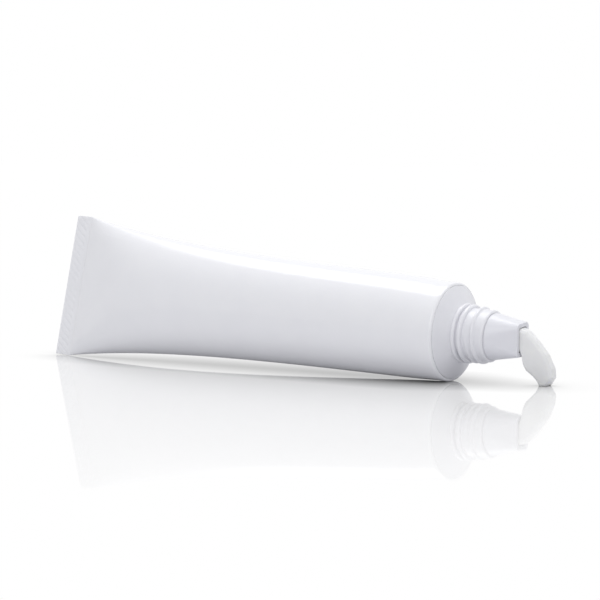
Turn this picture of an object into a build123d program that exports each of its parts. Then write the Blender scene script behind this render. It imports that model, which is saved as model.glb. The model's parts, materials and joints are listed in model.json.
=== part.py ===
from build123d import *
import math
import os

# A flat-tipped paste tube, lying on its side with a ribbon of paste squeezed out of it.
# Everything is built along +X, from the seal to the tip, with X = 0 where the sleeve meets
# the shoulder. The finished tube is then tipped on to the surface that it rests on. Millimetres.

# Sleeve: a laminate tube, round at the shoulder and pressed flat at the seal
body_diameter = 35.0
sleeve_wall = 0.45
body_length = 167.5         # from the shoulder to the inner edge of the seal
seal_band = 6.6
seal_roll = 12.0            # degrees that the seal leans from upright
rim_radius = 1.0            # the end of the sleeve curls over the shoulder
collar_length = 5.4         # stays round over the skirt of the head
collar_seat = 0.02          # how much thinner the wall is where it leaves the collar
belly = 0.8                 # how far the filled sides swell behind the collar
belly_reach = 0.06          # share of the body over which they do so
belly_lift = 0.45           # share of the swelling that goes upwards, off the flat underside
slow_flare = 0.55           # share of the widening that is spread over the whole body
tail_rise = 0.9             # the axis curves up by this at the seal

# Seal: two walls welded together and pressed with slanted grooves
groove_pitch = 2.1
groove_width = 0.7
groove_depth = 0.14
groove_slant = 38.0         # degrees from the axis
plain_strip = 1.4           # left smooth beside the body
seal_seat = 0.08            # how much thinner the body ends than the seal that it runs into

# Head: shoulder cone, two plain beads and a screw neck, moulded in one
fit = 0.05                  # clearance of seated parts
skirt_length = 5.0
skirt_wall = 1.0
shoulder_edge = 0.15        # height of the cone's outer edge above the rim
shoulder_wall = 1.5         # along the axis
neck_base = 3.6             # where the cone meets the first bead
neck_length = 11.9
neck_radius = 9.1
neck_bore = 7.0
neck_round = 0.8
bead_places = (4.3, 6.7)
bead_crests = (10.5, 10.3)
bead_radius = 0.85

# Screw thread on the neck
thread_start = 9.0
thread_pitch = 2.5
thread_turns = 1.75
thread_crest = 9.95
thread_foot_width = 1.7
thread_crest_width = 0.8
thread_angle = 10.0         # degrees that its start lies above the middle of the near side
thread_root = 0.3           # how far its foot is sunk into the neck

# Nozzle: a flat-tipped insert pressed into the neck
nozzle_length = 11.15
nozzle_radius = 8.14
nozzle_collar = 0.5
nozzle_roll = 5.0
tip_height = 11.6
tip_depth = 8.4
tip_corner = 1.8
lip = 1.4
plug_length = 9.0
plug_wall = 1.35
base_roundness = 0.96       # corner radius of its base over the half width
bore_step = 0.3             # where the round bore meets the slot's taper

# Paste
paste_gap = 0.08            # clearance from the walls round it
fill_end = 0.985            # share of the body that the fill reaches
ribbon_root = 1.2           # how far the ribbon starts inside the slot
ribbon_slack = 0.1          # how much smaller it is there than the stem of paste in the slot
ribbon_thickness = 5.0
ribbon_bevel = 0.9          # cut off each corner of its section

# Ribbon sections from the slot down to the surface: centre, width and lean of the wide side
# from upright in degrees
ribbon_sections = (
    ((27.9, 0.3, 15.0), 9.0, 12.0),
    ((29.4, 1.4, 11.7), 9.7, 32.0),
    ((31.0, 3.0, 8.2), 9.6, 53.0),
    ((32.4, 4.8, 4.9), 8.0, 69.0),
    ((32.9, 6.0, 2.3), 6.2, 76.0),
    ((31.7, 7.0, 0.0), 3.4, 90.0),
)

# Worked out from the sizes above
body_radius = body_diameter / 2
mid_radius = body_radius - sleeve_wall / 2
seal_half_width = math.pi * mid_radius / 2
opening_radius = body_radius - rim_radius
neck_end = neck_base + neck_length
nozzle_base = neck_end + fit
tip_place = nozzle_base + nozzle_length
slot_height = tip_height - 2 * lip
slot_depth = tip_depth - 2 * lip
nozzle_bore = neck_bore - fit - plug_wall
cone_slope = (neck_base - shoulder_edge) / (opening_radius - fit - bead_crests[0])


def leaning(roll):
    """Direction of a wide side that leans from +Z towards +Y by the angle given."""
    return (0, math.sin(math.radians(roll)), math.cos(math.radians(roll)))


def swelling(share):
    return belly * (1 - math.exp(-share / belly_reach))


def half_width(share):
    """Half width of the middle of the wall, at a share of the way to the seal."""
    flare = seal_half_width - mid_radius - belly
    spread = slow_flare * share**2 + (1 - slow_flare) * share**5
    return mid_radius + swelling(share) + flare * spread


def half_thickness(share):
    """Half thickness of the middle of the wall, which closes as the width grows."""
    closed = sleeve_wall / 2
    return closed + (mid_radius - closed) * (1 - 0.26 * share - 0.74 * share**8)


def section_place(share):
    """Distance behind the shoulder, and rise of the axis, of a section."""
    along = collar_length + (body_length - collar_length) * share
    return along, tail_rise * (along / body_length) ** 2 + belly_lift * swelling(share)


def body_loft(offset, last_share):
    """The body from the collar to the seal, offset outwards from the middle of the wall."""
    shares = (0, 0.03, 0.08, 0.16, 0.28, 0.42, 0.56, 0.68, 0.78, 0.86, 0.93, last_share)
    sections = []
    for share in shares:
        along, rise = section_place(share)
        plane = Plane(origin=(-along, 0, rise), x_dir=leaning(seal_roll), z_dir=(1, 0, 0))
        seated = seal_seat if share == 1 else 0
        wide = half_width(share) + offset - 4 * seated
        thick = half_thickness(share) + offset - seated
        if share == 0:
            sections.append(plane * Circle(mid_radius + offset - math.copysign(collar_seat, offset)))
        else:
            sections.append(plane * Ellipse(wide, thick))
    return loft(sections)


def turned(points):
    """A solid of revolution about X, from an outline of (x, radius) points."""
    return revolve(make_face(Polyline(*points, close=True)), axis=Axis.X)


def rim_arc(back, start_at_rim):
    """The curled edge of the sleeve, or one set back inside it, in the (x, radius) plane."""
    corner = rim_radius - back
    across = corner * math.sqrt(0.5)
    points = [
        (-rim_radius, body_radius - back),
        (across - rim_radius, opening_radius + across),
        (-back, opening_radius),
    ]
    if not start_at_rim:
        points.reverse()
    return ThreePointArc(*points)


def collar():
    """The round end of the sleeve, with its edge curled in over the shoulder."""
    inside = body_radius - sleeve_wall
    outline = (
        Line((-collar_length, body_radius), (-rim_radius, body_radius))
        + rim_arc(0, True)
        + Line((0, opening_radius), (-sleeve_wall, opening_radius))
        + rim_arc(sleeve_wall, False)
        + Line((-rim_radius, inside), (-collar_length, inside))
        + Line((-collar_length, inside), (-collar_length, body_radius))
    )
    return revolve(make_face(outline), axis=Axis.X)


def seal_plate():
    """The welded seal, with slanted grooves in both faces outside its plain strip."""
    overlap = 1.0
    along, rise = section_place(1)
    half = seal_half_width + sleeve_wall / 2
    flat = Plane(origin=(-along, 0, rise), x_dir=(1, 0, 0), z_dir=Vector(*leaning(seal_roll + 90)))
    plate = Pos((overlap - seal_band) / 2, 0, 0) * Box(seal_band + overlap, 2 * half, 2 * sleeve_wall)
    grooved = seal_band - plain_strip
    run = grooved * math.tan(math.radians(90 - groove_slant))
    step = groove_pitch / math.sin(math.radians(90 - groove_slant))
    grooves = []
    count = int((2 * half - run) / step)
    middle = Pos(-plain_strip - grooved / 2, 0, 0)
    for number in range(count + 1):
        across = (number - count / 2) * step
        for face in (-1, 1):
            bar = Box(grooved / math.cos(math.radians(groove_slant)), groove_width, 2 * groove_depth)
            grooves.append(
                middle * Pos(0, across, face * sleeve_wall) * Rot(0, 0, groove_slant) * bar
            )
    return flat * (plate - grooves)


def sleeve():
    shell = body_loft(sleeve_wall / 2, 1) - body_loft(-sleeve_wall / 2, fill_end)
    return shell + collar() + seal_plate()


def thread():
    turns = Helix(thread_pitch, thread_pitch * thread_turns, neck_radius)
    foot = thread_foot_width / 2
    crest = thread_crest_width / 2
    height = thread_crest - neck_radius
    profile = Plane(origin=turns @ 0, x_dir=(1, 0, 0), z_dir=turns % 0) * make_face(
        Polyline((-thread_root, -foot), (0, -foot), (height, -crest), (height, crest), (0, foot),
                 (-thread_root, foot), close=True)
    )
    near = Plane(
        origin=(thread_start, 0, 0),
        x_dir=Vector(*leaning(thread_angle - 90)),
        z_dir=(1, 0, 0),
    )
    return near * sweep(profile, path=turns, is_frenet=True)


def head():
    back = sleeve_wall + fit
    skirt_outline = (
        Polyline((-back, 0), (-skirt_length, 0), (-skirt_length, body_radius - back),
                 (-rim_radius, body_radius - back))
        + rim_arc(back, True)
        + Line((-back, opening_radius), (-back, 0))
    )
    skirt = revolve(make_face(skirt_outline), axis=Axis.X)
    edge = opening_radius - fit
    cone_end = neck_base + cone_slope * (bead_crests[0] - neck_radius)
    shoulder = turned([
        (-rim_radius, 0), (-rim_radius, edge), (shoulder_edge, edge), (cone_end, neck_radius),
        (neck_end - neck_round, neck_radius), (neck_end, neck_radius - neck_round), (neck_end, 0),
    ])
    outside = skirt + shoulder
    for place, crest in zip(bead_places, bead_crests):
        outside += Pos(place, 0, 0) * Rot(0, 90, 0) * Torus(crest - bead_radius, bead_radius)
    outside += thread()
    inner_radius = body_radius - back - skirt_wall
    inner_edge = shoulder_edge - shoulder_wall
    inside = turned([
        (-skirt_length - 1, 0), (-skirt_length - 1, inner_radius), (inner_edge, inner_radius),
        (inner_edge + cone_slope * (inner_radius - neck_bore), neck_bore), (neck_end + 1, neck_bore),
        (neck_end + 1, 0),
    ])
    return outside - inside


def tapered(base_radius, height, depth, corner, start, straight):
    """A nearly round bar that becomes a flat one with rounded corners at the tip."""
    turn = leaning(-nozzle_roll)
    base = RectangleRounded(2 * base_radius, 2 * base_radius, base_radius * base_roundness)
    first = Plane(origin=(start, 0, 0), x_dir=turn, z_dir=(1, 0, 0))
    second = Plane(origin=(start + straight, 0, 0), x_dir=turn, z_dir=(1, 0, 0))
    last = Plane(origin=(tip_place, 0, 0), x_dir=turn, z_dir=(1, 0, 0))
    bar = loft([second * base, last * RectangleRounded(height, depth, corner)])
    if straight:
        bar += extrude(first * base, amount=straight)
    return bar


def nozzle():
    collar_end = nozzle_base + nozzle_collar
    plug = turned([
        (neck_end - plug_length, 0), (neck_end - plug_length, neck_bore - 2 * fit),
        (neck_end, neck_bore - fit), (collar_end, neck_bore - fit), (collar_end, 0),
    ])
    body = tapered(nozzle_radius, tip_height, tip_depth, tip_corner, nozzle_base, nozzle_collar)
    bore = turned([
        (neck_end - plug_length - 1, 0), (neck_end - plug_length - 1, nozzle_bore),
        (collar_end, nozzle_bore), (collar_end, 0),
    ])
    slot = tapered(nozzle_bore - bore_step, slot_height, slot_depth, tip_corner / 2, collar_end - 0.5, 0)
    return plug + body - bore - slot


def lowest(share):
    """Lowest point, in a side view, of the rolled section at a share of the body."""
    along, rise = section_place(share)
    wide = half_width(share) + sleeve_wall / 2
    thick = half_thickness(share) + sleeve_wall / 2
    lean = math.radians(seal_roll)
    return -along, rise - math.hypot(wide * math.cos(lean), thick * math.sin(lean))


def rest_pose():
    """Tip and lift that bring the seal's inner corner and the shoulder's rim to the surface."""
    lean = math.radians(seal_roll)
    half = seal_half_width + sleeve_wall / 2
    corner_x = -body_length
    corner_z = section_place(1)[1] - half * math.cos(lean) - sleeve_wall * math.sin(lean)
    under = [(-rim_radius, -body_radius)] + [lowest(number / 200) for number in range(150)]
    angle = min(math.atan2(z - corner_z, x - corner_x) for x, z in under)
    lift = corner_x * math.sin(angle) - corner_z * math.cos(angle)
    return math.degrees(angle), lift


def bevelled(plane, width, thickness):
    """A bar section with its corners cut off, wide along the plane's own X."""
    half = width / 2
    side = thickness / 2
    outline = Polyline(
        (half - ribbon_bevel, side), (half, side - ribbon_bevel),
        (half, ribbon_bevel - side), (half - ribbon_bevel, -side),
        (ribbon_bevel - half, -side), (-half, ribbon_bevel - side),
        (-half, side - ribbon_bevel), (ribbon_bevel - half, side), close=True
    )
    return plane * make_face(outline)


def ribbon(stand):
    """The squeezed-out ribbon, from inside the slot down to the surface."""
    inset = 2 * paste_gap + ribbon_slack
    faces = []
    for place in (tip_place - ribbon_root, tip_place + paste_gap):
        plane = Plane(origin=(place, 0, 0), x_dir=leaning(-nozzle_roll), z_dir=(1, 0, 0))
        faces.append(stand * bevelled(plane, slot_height - inset, slot_depth - inset))
    for centre, width, lean in ribbon_sections:
        angle = math.radians(lean)
        plane = Plane(
            origin=centre,
            x_dir=(math.sin(angle), 0, math.cos(angle)),
            z_dir=(math.cos(angle), 0, -math.sin(angle)),
        )
        faces.append(bevelled(plane, width, ribbon_thickness))
    return loft(faces, ruled=True)


def paste(stand):
    """The fill, the column through the head and nozzle, and the ribbon, all one mass."""
    fill = body_loft(-sleeve_wall / 2 - paste_gap, fill_end)
    skirt_inside = body_radius - sleeve_wall - fit - skirt_wall - paste_gap
    cone_start = shoulder_edge - shoulder_wall - paste_gap
    throat = neck_bore - paste_gap
    cone_end = cone_start + cone_slope * (skirt_inside - throat)
    plug_start = neck_end - plug_length - paste_gap
    bore = nozzle_bore - paste_gap
    bore_end = nozzle_base + nozzle_collar - paste_gap
    column = turned([
        (-collar_length, 0), (-collar_length, skirt_inside), (cone_start, skirt_inside),
        (cone_end, throat), (plug_start, throat), (plug_start, bore), (bore_end, bore), (bore_end, 0),
    ])
    inset = 2 * paste_gap
    corner = tip_corner / 2 - paste_gap
    stem = tapered(bore - bore_step, slot_height - inset, slot_depth - inset, corner, nozzle_base + nozzle_collar - 0.5, 0)
    return stand * (fill + column + stem) + ribbon(stand)


def main():
    angle, lift = rest_pose()
    stand = Pos(0, 0, lift) * Rot(0, angle, 0)
    pieces = {
        "sleeve": stand * sleeve(),
        "head": stand * head(),
        "nozzle": stand * nozzle(),
        "paste": paste(stand),
    }
    boxes = [piece.bounding_box() for piece in pieces.values()]
    middle_x = (min(box.min.X for box in boxes) + max(box.max.X for box in boxes)) / 2
    middle_y = (min(box.min.Y for box in boxes) + max(box.max.Y for box in boxes)) / 2
    centred = Pos(-middle_x, -middle_y, 0)
    print(f"shoulder at {-middle_x:.2f}, {-middle_y:.2f}, {lift:.2f}, tipped {angle:.2f} degrees")
    os.makedirs("parts", exist_ok=True)
    for name, piece in pieces.items():
        export_step(centred * piece, f"parts/{name}.step")


main()
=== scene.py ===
import json
import math
import bpy
import bmesh
from mathutils import Matrix, Vector


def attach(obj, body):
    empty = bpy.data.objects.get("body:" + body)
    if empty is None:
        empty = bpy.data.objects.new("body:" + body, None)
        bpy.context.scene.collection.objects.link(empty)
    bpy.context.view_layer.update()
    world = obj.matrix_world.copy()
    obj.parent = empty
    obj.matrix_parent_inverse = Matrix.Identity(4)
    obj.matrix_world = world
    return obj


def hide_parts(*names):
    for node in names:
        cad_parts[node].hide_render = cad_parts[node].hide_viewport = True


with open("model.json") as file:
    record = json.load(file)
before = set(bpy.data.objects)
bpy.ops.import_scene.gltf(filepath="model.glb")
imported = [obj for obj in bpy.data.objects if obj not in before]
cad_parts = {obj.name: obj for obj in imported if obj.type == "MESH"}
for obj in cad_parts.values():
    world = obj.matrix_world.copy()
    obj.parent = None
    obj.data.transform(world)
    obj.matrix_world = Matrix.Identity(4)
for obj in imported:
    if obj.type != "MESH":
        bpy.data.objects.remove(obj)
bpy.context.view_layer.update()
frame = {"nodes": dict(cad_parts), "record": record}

mm = 0.001
weldMm = 0.002   # points closer than this are one point

# where the tube lies: the neck mount gives its axis, and the shoulder is a known way behind it
tubePlace = {"neckMountAlong": 11.6, "sealRoll": 12.0, "nozzleRoll": 5.0}


def tubeFrame():
    mount = frame["record"]["mounts"][0]
    axis = Vector(mount["axis"]).normalized()
    shoulder = Vector(mount["pos_m"]) - axis * tubePlace["neckMountAlong"] * mm
    side = Vector((0, 1, 0))
    return Matrix.Translation(shoulder) @ Matrix((axis, side, axis.cross(side))).transposed().to_4x4()


tubeMatrix = tubeFrame()


def hexColour(code):   # sRGB hex to linear
    parts = [int(code[i:i + 2], 16) / 255 for i in (1, 3, 5)]
    return tuple(c / 12.92 if c <= 0.04045 else ((c + 0.055) / 1.055) ** 2.4 for c in parts) + (1,)


def addNode(tree, kind, settings=None, links=None):
    node = tree.nodes.new(kind)
    for name, value in (settings or {}).items():
        if hasattr(node, name):
            setattr(node, name, value)
        else:
            node.inputs[name].default_value = value
    for name, source in (links or {}).items():
        tree.links.new(source, node.inputs[name])
    return node


def selectOnly(piece):
    bpy.ops.object.select_all(action="DESELECT")
    piece.select_set(True)
    bpy.context.view_layer.objects.active = piece


def newMaterial(name):
    material = bpy.data.materials.new(name)
    material.use_nodes = True
    material.node_tree.nodes.clear()
    return material, material.node_tree


def finishPiece(piece, material, node, angle):
    selectOnly(piece)
    piece.data.materials.clear()
    piece.data.materials.append(material)
    bpy.ops.object.shade_smooth_by_angle(angle=math.radians(angle))
    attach(piece, "root")
    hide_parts(node)
    print(piece.name, "made with", len(piece.data.polygons), "faces")


def shellFromRings(name, rings, closeEnds):
    # a primitive grid is rolled up: its rows become the rings of the shell
    around = len(rings[0])
    bpy.ops.object.select_all(action="DESELECT")
    bpy.ops.mesh.primitive_grid_add(x_subdivisions=around, y_subdivisions=len(rings) - 1, size=1)
    piece = bpy.context.object
    piece.name = name
    piece.data.name = name
    for index, vertex in enumerate(piece.data.vertices):
        row, column = divmod(index, around + 1)
        vertex.co = rings[row][column % around]
    bpy.ops.object.mode_set(mode="EDIT")
    bpy.ops.mesh.select_all(action="SELECT")
    bpy.ops.mesh.remove_doubles(threshold=weldMm * mm)
    bpy.ops.object.mode_set(mode="OBJECT")
    shape = bmesh.new()
    shape.from_mesh(piece.data)
    if closeEnds:
        bmesh.ops.holes_fill(shape, edges=[e for e in shape.edges if e.is_boundary], sides=0)
    bmesh.ops.recalc_face_normals(shape, faces=shape.faces)
    shape.to_mesh(piece.data)
    shape.free()
    return piece


laminate = {
    "colour": "#ECECEF", "shade": "#E8E8EC", "roughness": 0.2, "ior": 1.5, "coat": 0.3, "coatRoughness": 0.08,
    "waveMm": 9.0, "waveStrength": 0.12, "waveHeightMm": 0.3,
    "grainMm": 0.5, "grainStrength": 0.03, "grainHeightMm": 0.03,
}


def laminateMaterial():
    # extruded polyethylene laminate, glossy, with the faint waviness of a soft filled tube
    material, tree = newMaterial("glossPolyethyleneLaminate")
    place = addNode(tree, "ShaderNodeTexCoord")
    wave = addNode(tree, "ShaderNodeTexNoise", {"Scale": 1 / (laminate["waveMm"] * mm), "Detail": 2.0},
                   {"Vector": place.outputs["Object"]})
    grain = addNode(tree, "ShaderNodeTexNoise", {"Scale": 1 / (laminate["grainMm"] * mm), "Detail": 3.0},
                    {"Vector": place.outputs["Object"]})
    colour = addNode(tree, "ShaderNodeMix", {"data_type": "RGBA"}, {"Factor": wave.outputs["Fac"]})
    colour.inputs["A"].default_value = hexColour(laminate["colour"])
    colour.inputs["B"].default_value = hexColour(laminate["shade"])
    soft = addNode(tree, "ShaderNodeBump",
                   {"Strength": laminate["waveStrength"], "Distance": laminate["waveHeightMm"] * mm},
                   {"Height": wave.outputs["Fac"]})
    fine = addNode(tree, "ShaderNodeBump",
                   {"Strength": laminate["grainStrength"], "Distance": laminate["grainHeightMm"] * mm},
                   {"Height": grain.outputs["Fac"], "Normal": soft.outputs["Normal"]})
    skin = addNode(tree, "ShaderNodeBsdfPrincipled",
                   {"Roughness": laminate["roughness"], "IOR": laminate["ior"],
                    "Coat Weight": laminate["coat"], "Coat Roughness": laminate["coatRoughness"]},
                   {"Base Color": colour.outputs["Result"], "Normal": fine.outputs["Normal"]})
    addNode(tree, "ShaderNodeOutputMaterial", None, {"Surface": skin.outputs["BSDF"]})
    return material


moulding = {
    "roughness": 0.32, "ior": 1.54, "flowMm": 6.0, "flowStrength": 0.06, "flowHeightMm": 0.1,
    "glow": 0.15, "glowMm": 2.0,   # how much light passes through the skin, and how far
}


def mouldedMaterial(name, colour, shade):
    # injection moulded high-density polyethylene: waxy, slightly translucent, fine matt skin
    material, tree = newMaterial(name)
    place = addNode(tree, "ShaderNodeTexCoord")
    flow = addNode(tree, "ShaderNodeTexNoise", {"Scale": 1 / (moulding["flowMm"] * mm), "Detail": 3.0},
                   {"Vector": place.outputs["Object"]})
    tint = addNode(tree, "ShaderNodeMix", {"data_type": "RGBA"}, {"Factor": flow.outputs["Fac"]})
    tint.inputs["A"].default_value = hexColour(colour)
    tint.inputs["B"].default_value = hexColour(shade)
    bump = addNode(tree, "ShaderNodeBump",
                   {"Strength": moulding["flowStrength"], "Distance": moulding["flowHeightMm"] * mm},
                   {"Height": flow.outputs["Fac"]})
    depth = moulding["glowMm"] * mm
    skin = addNode(tree, "ShaderNodeBsdfPrincipled",
                   {"Roughness": moulding["roughness"], "IOR": moulding["ior"],
                    "Subsurface Weight": moulding["glow"], "Subsurface Radius": (depth, depth, depth),
                    "Subsurface Scale": 1.0},
                   {"Base Color": tint.outputs["Result"], "Normal": bump.outputs["Normal"]})
    addNode(tree, "ShaderNodeOutputMaterial", None, {"Surface": skin.outputs["BSDF"]})
    return material


pasteLook = {
    "colour": "#ECECEB", "shade": "#E3E3E4", "roughness": 0.3, "ior": 1.45,
    "smearMm": 3.0, "smearStrength": 0.25, "smearHeightMm": 0.3,
    "glow": 0.4, "glowMm": (3.0, 3.0, 2.8),   # light goes a little less far in blue
}


def pasteMaterial():
    # opaque white paste, moist and a little translucent, smeared by the slot
    material, tree = newMaterial("moistWhitePaste")
    place = addNode(tree, "ShaderNodeTexCoord")
    smear = addNode(tree, "ShaderNodeTexNoise", {"Scale": 1 / (pasteLook["smearMm"] * mm), "Detail": 2.0},
                    {"Vector": place.outputs["Object"]})
    tint = addNode(tree, "ShaderNodeMix", {"data_type": "RGBA"}, {"Factor": smear.outputs["Fac"]})
    tint.inputs["A"].default_value = hexColour(pasteLook["colour"])
    tint.inputs["B"].default_value = hexColour(pasteLook["shade"])
    bump = addNode(tree, "ShaderNodeBump",
                   {"Strength": pasteLook["smearStrength"], "Distance": pasteLook["smearHeightMm"] * mm},
                   {"Height": smear.outputs["Fac"]})
    skin = addNode(tree, "ShaderNodeBsdfPrincipled",
                   {"Roughness": pasteLook["roughness"], "IOR": pasteLook["ior"],
                    "Subsurface Weight": pasteLook["glow"],
                    "Subsurface Radius": tuple(reach * mm for reach in pasteLook["glowMm"]),
                    "Subsurface Scale": 1.0},
                   {"Base Color": tint.outputs["Result"], "Normal": bump.outputs["Normal"]})
    addNode(tree, "ShaderNodeOutputMaterial", None, {"Surface": skin.outputs["BSDF"]})
    return material


# the sleeve is round at the shoulder, and flat and grooved at the seal
sleeve = {
    "radius": 17.5, "wall": 0.45, "length": 167.5, "band": 6.6, "rim": 1.0, "straight": 3.2, "collar": 5.4,
    "belly": 0.8, "bellyReach": 0.06, "bellyLift": 0.45, "tailRise": 0.9,
    "slowFlare": 0.55, "slowPower": 2, "fastPower": 5,     # how the width grows towards the seal
    "steadyThin": 0.26, "lateThin": 0.74, "latePower": 8,  # how the thickness goes towards the seal
    "squareness": 0.9, "squareReach": 18.0,                # how square the section gets, and from where
    "pinch": 0.16, "pinchFrom": 7.0, "pinchReach": 13.0, "pinchWidth": 0.8,   # faces drawn in beside the seal
    "around": 480, "rimSteps": 8, "bodyRings": 90, "sealRings": 22, "crowding": 1.25,
    "inset": 0.02, "smoothAngle": 50,                      # the inset keeps it inside the solid's size
}

seal = {
    "groovePitch": 2.1, "grooveDepth": 0.14, "grooveSlant": 38.0, "grooveHalf": 0.24, "grooveRound": 0.7,
    "plainStrip": 1.4, "runIn": 0.3,                       # no grooves on the strip, then they deepen
    "flatness": 9.0, "flatAfter": 4, "thinnest": 0.05, "edgeSkin": 0.1,
}


def sleeveHalfWidth(share):
    mid = sleeve["radius"] - sleeve["wall"] / 2
    swell = sleeve["belly"] * (1 - math.exp(-share / sleeve["bellyReach"]))
    flare = math.pi * mid / 2 - mid - sleeve["belly"]
    slow = sleeve["slowFlare"] * share ** sleeve["slowPower"]
    fast = (1 - sleeve["slowFlare"]) * share ** sleeve["fastPower"]
    return mid + swell + flare * (slow + fast) + sleeve["wall"] / 2 - sleeve["inset"]


def sleeveHalfThickness(share):
    closed = sleeve["wall"] / 2
    mid = sleeve["radius"] - closed
    fullness = 1 - sleeve["steadyThin"] * share - sleeve["lateThin"] * share ** sleeve["latePower"]
    return 2 * closed + (mid - closed) * fullness - sleeve["inset"]


def sleeveRise(along, share):
    swell = sleeve["belly"] * (1 - math.exp(-share / sleeve["bellyReach"]))
    return sleeve["tailRise"] * (along / sleeve["length"]) ** 2 + sleeve["bellyLift"] * swell


def ringPoint(along, rise, wide, thick):
    lean = math.radians(tubePlace["sealRoll"])
    across = Vector((0, math.sin(lean), math.cos(lean))) * wide
    out = Vector((0, math.cos(lean), -math.sin(lean))) * thick
    return tubeMatrix @ ((Vector((-along, 0, rise)) + across + out) * mm)


def grooveDrop(along, wide):   # slanted pressed grooves over the outer part of the seal
    past = along - sleeve["length"] - seal["plainStrip"]
    if past < 0:
        return 0
    slant = math.radians(seal["grooveSlant"])
    phase = (wide * math.cos(slant) + past * math.sin(slant)) / seal["groovePitch"]
    near = abs(phase - round(phase))
    shape = max(0, 1 - near / seal["grooveHalf"]) ** seal["grooveRound"]
    return seal["grooveDepth"] * shape * min(1, past / seal["runIn"])


def roundRing(along, radius, angles):
    return [ringPoint(along, 0, radius * math.cos(a), radius * math.sin(a)) for a in angles]


def rimRings(angles):   # the rolled rim, from the joint line outwards, and the straight part behind it
    radius = sleeve["radius"] - sleeve["inset"]
    rings = [roundRing(sleeve["wall"], radius - sleeve["rim"], angles)]
    for number in range(sleeve["rimSteps"] + 1):
        turn = math.radians(90 * number / sleeve["rimSteps"])
        along = sleeve["rim"] * (1 - math.cos(turn)) + sleeve["inset"]
        rings.append(roundRing(along, radius - sleeve["rim"] + sleeve["rim"] * math.sin(turn), angles))
    rings.append(roundRing(sleeve["straight"], radius, angles))
    return rings


def bodyRing(share, angles):
    along = sleeve["collar"] + (sleeve["length"] - sleeve["collar"]) * share
    wide = sleeveHalfWidth(share)
    thick = sleeveHalfThickness(share)
    toSeal = sleeve["length"] - along
    power = 2 / (2 + sleeve["squareness"] * math.exp(-toSeal / sleeve["squareReach"]))
    pinch = sleeve["pinch"] * math.exp(-((toSeal - sleeve["pinchFrom"]) / sleeve["pinchReach"]) ** 2)
    ring = []
    for a in angles:
        c, s = math.cos(a), math.sin(a)
        w = wide * math.copysign(abs(c) ** power, c)
        middle = max(0, 1 - (w / (sleeve["pinchWidth"] * wide)) ** 2)
        t = thick * math.copysign(abs(s) ** power, s) * (1 - pinch * middle)
        ring.append(ringPoint(along, sleeveRise(along, share), w, t))
    return ring


def sealRing(number, angles):
    along = sleeve["length"] + sleeve["band"] * number / sleeve["sealRings"] - sleeve["inset"]
    rise = sleeveRise(sleeve["length"], 1)
    square = 2 + sleeve["squareness"]
    flat = square + seal["flatness"] * min(1, number / seal["flatAfter"])
    half = sleeveHalfWidth(1)
    ring = []
    for a in angles:
        c, s = math.cos(a), math.sin(a)
        w = half * math.copysign(abs(c) ** (2 / square), c)
        t = (sleeve["wall"] - sleeve["inset"]) * math.copysign(abs(s) ** (2 / flat), s)
        drop = grooveDrop(along, w if s > 0 else -w)
        if abs(t) > seal["edgeSkin"]:
            t = math.copysign(max(seal["thinnest"], abs(t) - drop), t)
        ring.append(ringPoint(along, rise, w, t))
    return ring


def makeSleeve():
    angles = [2 * math.pi * k / sleeve["around"] for k in range(sleeve["around"])]
    rings = rimRings(angles)
    for number in range(sleeve["bodyRings"] + 1):   # closer together towards the seal
        rings.append(bodyRing(1 - (1 - number / sleeve["bodyRings"]) ** sleeve["crowding"], angles))
    for number in range(1, sleeve["sealRings"] + 1):
        rings.append(sealRing(number, angles))
    piece = shellFromRings("tubeSleeve", rings, True)
    finishPiece(piece, laminateMaterial(), "sleeve", sleeve["smoothAngle"])


# shoulder cone, two beads and the screw neck. Each bead is its place along the neck and its crest's radius
head = {
    "colour": "#E6E6EA", "shade": "#DEDEE3",
    "edge": 16.4, "edgeHeight": 0.15, "coneTop": 3.6, "root": 9.1, "end": 15.5, "endRound": 0.8,
    "beads": ((4.3, 10.5), (6.7, 10.3)), "beadRadius": 0.85,
    "threadStart": 9.0, "startAngle": 10.0, "pitch": 2.5, "turns": 1.75, "crest": 9.95,
    "ridgeHalf": 0.95, "ridgePower": 1.4, "leadIn": 0.22,   # the thread fades over part of a turn at each end
    "skirt": 0.5, "edgeDrop": 0.12, "bore": 7.1, "boreShown": 2.0,
    "around": 256, "step": 0.07, "smoothAngle": 60,
}


def threadHeight(along, turn):
    height = 0
    for wrap in range(math.ceil(head["turns"])):
        whole = wrap + turn
        off = abs(along - head["threadStart"] - whole * head["pitch"]) / head["ridgeHalf"]
        if whole <= head["turns"] and off < 1:
            fade = min(1, whole / head["leadIn"], (head["turns"] - whole) / head["leadIn"])
            shape = 0.5 + 0.5 * math.cos(math.pi * off ** head["ridgePower"])
            height = max(height, (head["crest"] - head["root"]) * fade * shape)
    return height


def headRadius(along, turn):   # turn is the share of a turn round the neck from the thread's start
    fall = (head["edge"] - head["beads"][0][1]) / (head["coneTop"] - head["edgeHeight"])
    r = max(head["edge"] - (along - head["edgeHeight"]) * fall, head["root"])
    for place, crest in head["beads"]:
        off = abs(along - place) / head["beadRadius"]
        if off < 1:
            r = max(r, crest - head["beadRadius"] + head["beadRadius"] * math.sqrt(1 - off * off))
    r = max(r, head["root"] + threadHeight(along, turn))
    past = along - (head["end"] - head["endRound"])
    if past > 0:
        corner = math.sqrt(max(0, head["endRound"] ** 2 - past ** 2))
        r = min(r, head["root"] - head["endRound"] + corner)
    return r


def headRing(along, radiusAt):   # starts a little above mid height on the near side and runs downwards
    points = []
    for k in range(head["around"]):
        turn = k / head["around"]
        a = math.radians(head["startAngle"]) - 2 * math.pi * turn
        r = radiusAt(turn)
        points.append(tubeMatrix @ (Vector((along, -r * math.cos(a), r * math.sin(a))) * mm))
    return points


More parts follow.
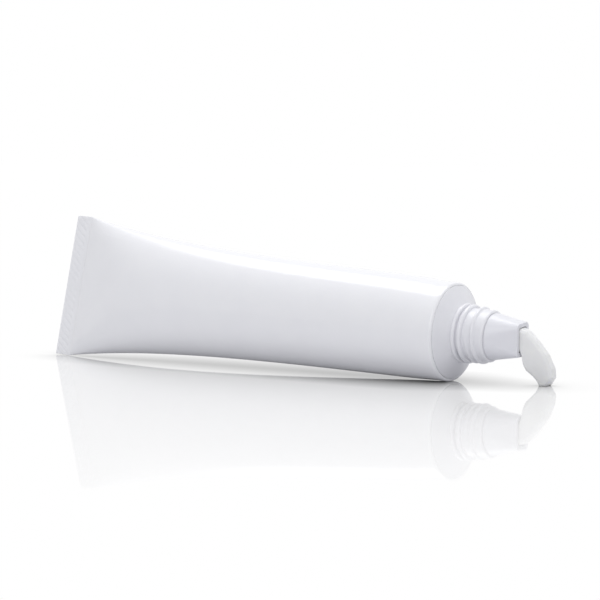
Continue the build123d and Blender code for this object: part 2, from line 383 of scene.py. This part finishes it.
def makeHead():
    rings = [headRing(-head["skirt"], lambda turn: head["edge"]),
             headRing(head["edgeHeight"] - head["edgeDrop"], lambda turn: head["edge"])]
    length = head["end"] - head["edgeHeight"]
    count = int(length / head["step"])
    for number in range(count + 1):
        along = head["edgeHeight"] + length * number / count
        rings.append(headRing(along, lambda turn, x=along: headRadius(x, turn)))
    rings.append(headRing(head["end"], lambda turn: head["bore"]))
    rings.append(headRing(head["end"] - head["boreShown"], lambda turn: head["bore"]))
    piece = shellFromRings("threadedHead", rings, False)   # open inside the sleeve and behind the nozzle
    material = mouldedMaterial("mouldedHdpeHead", head["colour"], head["shade"])
    finishPiece(piece, material, "head", head["smoothAngle"])


nozzle = {"colour": "#E3E3E8", "shade": "#DCDCE2", "mergeMm": 0.001, "smoothAngle": 30}


def makeNozzle():   # a copy of the solid's mesh, merged so that it shades smoothly
    source = frame["nodes"]["nozzle"]
    piece = source.copy()
    piece.data = source.data.copy()
    piece.name = "flatNozzle"
    piece.parent = None
    for key in list(piece.keys()):   # the copy isn't a CAD node
        del piece[key]
    bpy.context.scene.collection.objects.link(piece)
    selectOnly(piece)
    bpy.ops.object.mode_set(mode="EDIT")
    bpy.ops.mesh.select_all(action="SELECT")
    bpy.ops.mesh.remove_doubles(threshold=nozzle["mergeMm"] * mm)
    bpy.ops.object.mode_set(mode="OBJECT")
    material = mouldedMaterial("mouldedHdpeNozzle", nozzle["colour"], nozzle["shade"])
    finishPiece(piece, material, "nozzle", nozzle["smoothAngle"])


ribbon = {
    # centre, width and lean of each section in millimetres from the shoulder, as in the solid
    "sections": [((27.9, 0.3, 15.0), 9.0, 12.0), ((29.4, 1.4, 11.7), 9.7, 32.0),
                 ((31.0, 3.0, 8.2), 9.6, 53.0), ((32.4, 4.8, 4.9), 8.0, 69.0),
                 ((32.9, 6.0, 2.3), 6.2, 76.0), ((31.7, 7.0, 0.0), 3.4, 90.0)],
    "thickness": 5.0, "bevel": 0.9, "tip": 26.7, "rootBack": 1.2, "plugBack": 5.2,
    "slotHeight": 8.3, "slotDepth": 5.1,   # a little smaller than the slot
    "edgeRoundMm": 0.5, "edgeSteps": 2, "facetAngle": 12, "softLevels": 2,
    "floorGapMm": 0.02, "smoothAngle": 60,
}


def bevelledOutline(width, thickness):
    half, side, cut = width / 2, thickness / 2, ribbon["bevel"]
    return [(half - cut, side), (half, side - cut), (half, cut - side), (half - cut, -side),
            (cut - half, -side), (-half, cut - side), (-half, side - cut), (cut - half, side)]


def slotRings():   # from inside the nozzle out to its tip, turned with the nozzle
    lean = math.radians(-tubePlace["nozzleRoll"])
    wide = Vector((0, math.sin(lean), math.cos(lean)))
    thick = Vector((1, 0, 0)).cross(wide)
    outline = bevelledOutline(ribbon["slotHeight"], ribbon["slotDepth"])
    rings = []
    for back in (ribbon["plugBack"], ribbon["rootBack"], 0):
        place = Vector((ribbon["tip"] - back, 0, 0))
        rings.append([tubeMatrix @ ((place + wide * w + thick * t) * mm) for w, t in outline])
    return rings


def fallingRings():   # over the edge and down to the floor
    base = Vector((tubeMatrix.translation.x, tubeMatrix.translation.y, 0))
    rings = []
    for centre, width, turn in ribbon["sections"]:
        angle = math.radians(turn)
        wide = Vector((math.sin(angle), 0, math.cos(angle)))
        forward = Vector((math.cos(angle), 0, -math.sin(angle)))
        thick = forward.cross(wide)
        outline = bevelledOutline(width, ribbon["thickness"])
        rings.append([base + (Vector(centre) + wide * w + thick * t) * mm for w, t in outline])
    return rings


def makeRibbon():
    piece = shellFromRings("pasteRibbon", slotRings() + fallingRings(), True)
    selectOnly(piece)
    rounding = piece.modifiers.new("edges", "BEVEL")   # keeps the flat facets, rounds their edges
    rounding.width = ribbon["edgeRoundMm"] * mm
    rounding.segments = ribbon["edgeSteps"]
    rounding.limit_method = "ANGLE"
    rounding.angle_limit = math.radians(ribbon["facetAngle"])
    bpy.ops.object.modifier_apply(modifier="edges")
    smooth = piece.modifiers.new("soften", "SUBSURF")
    smooth.levels = ribbon["softLevels"]
    smooth.render_levels = ribbon["softLevels"]
    bpy.ops.object.modifier_apply(modifier="soften")
    for vertex in piece.data.vertices:   # nothing sinks into the floor
        vertex.co.z = max(vertex.co.z, ribbon["floorGapMm"] * mm)
    finishPiece(piece, pasteMaterial(), "paste", ribbon["smoothAngle"])


# a polished white floor: it mirrors the tube near it, and the mirror fades towards the camera. Its white is
# an emission with a painted shadow: ambient occlusion darkens it near the tube
stage = {
    "floorSize": 6.0, "mirror": 0.5, "mirrorRoughness": 0.03, "fadeLength": 0.33,
    "shadowReach": 0.02, "shadowSamples": 16, "paleFloor": "#D8D8DA",
}


def makeFloor():
    bpy.ops.object.select_all(action="DESELECT")
    bpy.ops.mesh.primitive_plane_add(size=stage["floorSize"], location=(0, 0, 0))
    floor = bpy.context.object
    floor.name = "floor"
    material, tree = newMaterial("polishedWhiteFloorPaintedShadow")
    place = addNode(tree, "ShaderNodeNewGeometry")
    axes = addNode(tree, "ShaderNodeSeparateXYZ", None, {"Vector": place.outputs["Position"]})
    fade = addNode(tree, "ShaderNodeMapRange",
                   {"From Min": -stage["fadeLength"], "From Max": 0.0,
                    "To Min": 0.0, "To Max": stage["mirror"]},
                   {"Value": axes.outputs["Y"]})
    # painted shadow: ambient occlusion darkens the floor's white emission under and beside the tube
    paintedShadow = addNode(tree, "ShaderNodeAmbientOcclusion",
                     {"Distance": stage["shadowReach"], "samples": stage["shadowSamples"]})
    white = addNode(tree, "ShaderNodeEmission", {"Strength": 1.0}, {"Color": paintedShadow.outputs["Color"]})
    gloss = addNode(tree, "ShaderNodeBsdfGlossy",
                    {"Roughness": stage["mirrorRoughness"], "Color": (1, 1, 1, 1)})
    seen = addNode(tree, "ShaderNodeMixShader", None,
                   {0: fade.outputs["Result"], 1: white.outputs["Emission"], 2: gloss.outputs["BSDF"]})
    pale = addNode(tree, "ShaderNodeBsdfDiffuse", {"Color": hexColour(stage["paleFloor"])})
    rays = addNode(tree, "ShaderNodeLightPath")
    out = addNode(tree, "ShaderNodeMixShader", None,
                  {0: rays.outputs["Is Camera Ray"], 1: pale.outputs["BSDF"], 2: seen.outputs["Shader"]})
    addNode(tree, "ShaderNodeOutputMaterial", None, {"Surface": out.outputs["Shader"]})
    floor.data.materials.append(material)
    print("floor made")


studio = {"tint": (0.97, 0.98, 1, 1), "strength": 0.62}   # the light of the room, white where it is seen


def makeWorld():
    world = bpy.data.worlds.new("studio")
    bpy.context.scene.world = world
    world.use_nodes = True
    tree = world.node_tree
    tree.nodes.clear()
    rays = addNode(tree, "ShaderNodeLightPath")
    seen = addNode(tree, "ShaderNodeMath", {"operation": "MAXIMUM"},
                   {0: rays.outputs["Is Camera Ray"], 1: rays.outputs["Is Glossy Ray"]})
    seenAll = addNode(tree, "ShaderNodeMath", {"operation": "MAXIMUM"},
                      {0: seen.outputs["Value"], 1: rays.outputs["Is Transmission Ray"]})
    lit = addNode(tree, "ShaderNodeBackground", {"Color": studio["tint"], "Strength": studio["strength"]})
    white = addNode(tree, "ShaderNodeBackground", {"Color": (1, 1, 1, 1), "Strength": 1.0})
    mix = addNode(tree, "ShaderNodeMixShader", None,
                  {0: seenAll.outputs["Value"], 1: lit.outputs["Background"], 2: white.outputs["Background"]})
    addNode(tree, "ShaderNodeOutputWorld", None, {"Surface": mix.outputs["Shader"]})
    print("world made")


softboxes = {   # place, size and power of each, all turned to the tube
    "topSoftbox": ((0.0, 0.25, 0.9), (1.2, 0.5), 5.0),
    "frontSoftbox": ((0.5, -1.2, 0.7), (1.0, 0.8), 5.0),
}
softboxTarget = (0, 0, 0.02)


def addSoftbox(name, place, size, power):
    light = bpy.data.lights.new(name, "AREA")
    light.shape = "RECTANGLE"
    light.size, light.size_y = size
    light.energy = power
    lamp = bpy.data.objects.new(name, light)
    bpy.context.scene.collection.objects.link(lamp)
    lamp.location = place
    lamp.rotation_euler = (Vector(softboxTarget) - Vector(place)).to_track_quat("-Z", "Y").to_euler()
    print(name, "lit")


# the view is 33 degrees round from the side, just above the floor, through a long lens
view = {
    "azimuth": 33.4, "elevation": 4.58, "distance": 0.8214, "target": (0.0046, 0.0, 0.0258),
    "lens": 135.0, "sensor": 36, "nearest": 0.01,
}


def makeCamera():
    camera = bpy.data.cameras.new("camera")
    camera.lens = view["lens"]
    camera.sensor_width = view["sensor"]
    camera.clip_start = view["nearest"]
    eye = bpy.data.objects.new("camera", camera)
    bpy.context.scene.collection.objects.link(eye)
    turn, rise = math.radians(view["azimuth"]), math.radians(view["elevation"])
    back = Vector((math.sin(turn) * math.cos(rise), -math.cos(turn) * math.cos(rise), math.sin(rise)))
    eye.location = Vector(view["target"]) + back * view["distance"]
    eye.rotation_euler = back.to_track_quat("Z", "Y").to_euler()
    bpy.context.scene.camera = eye
    print("camera placed")


makeCamera()
makeSleeve()
makeHead()
makeNozzle()
makeRibbon()
makeFloor()
makeWorld()
for name, (place, size, power) in softboxes.items():
    addSoftbox(name, place, size, power)
bpy.context.scene.view_settings.view_transform = "Standard"
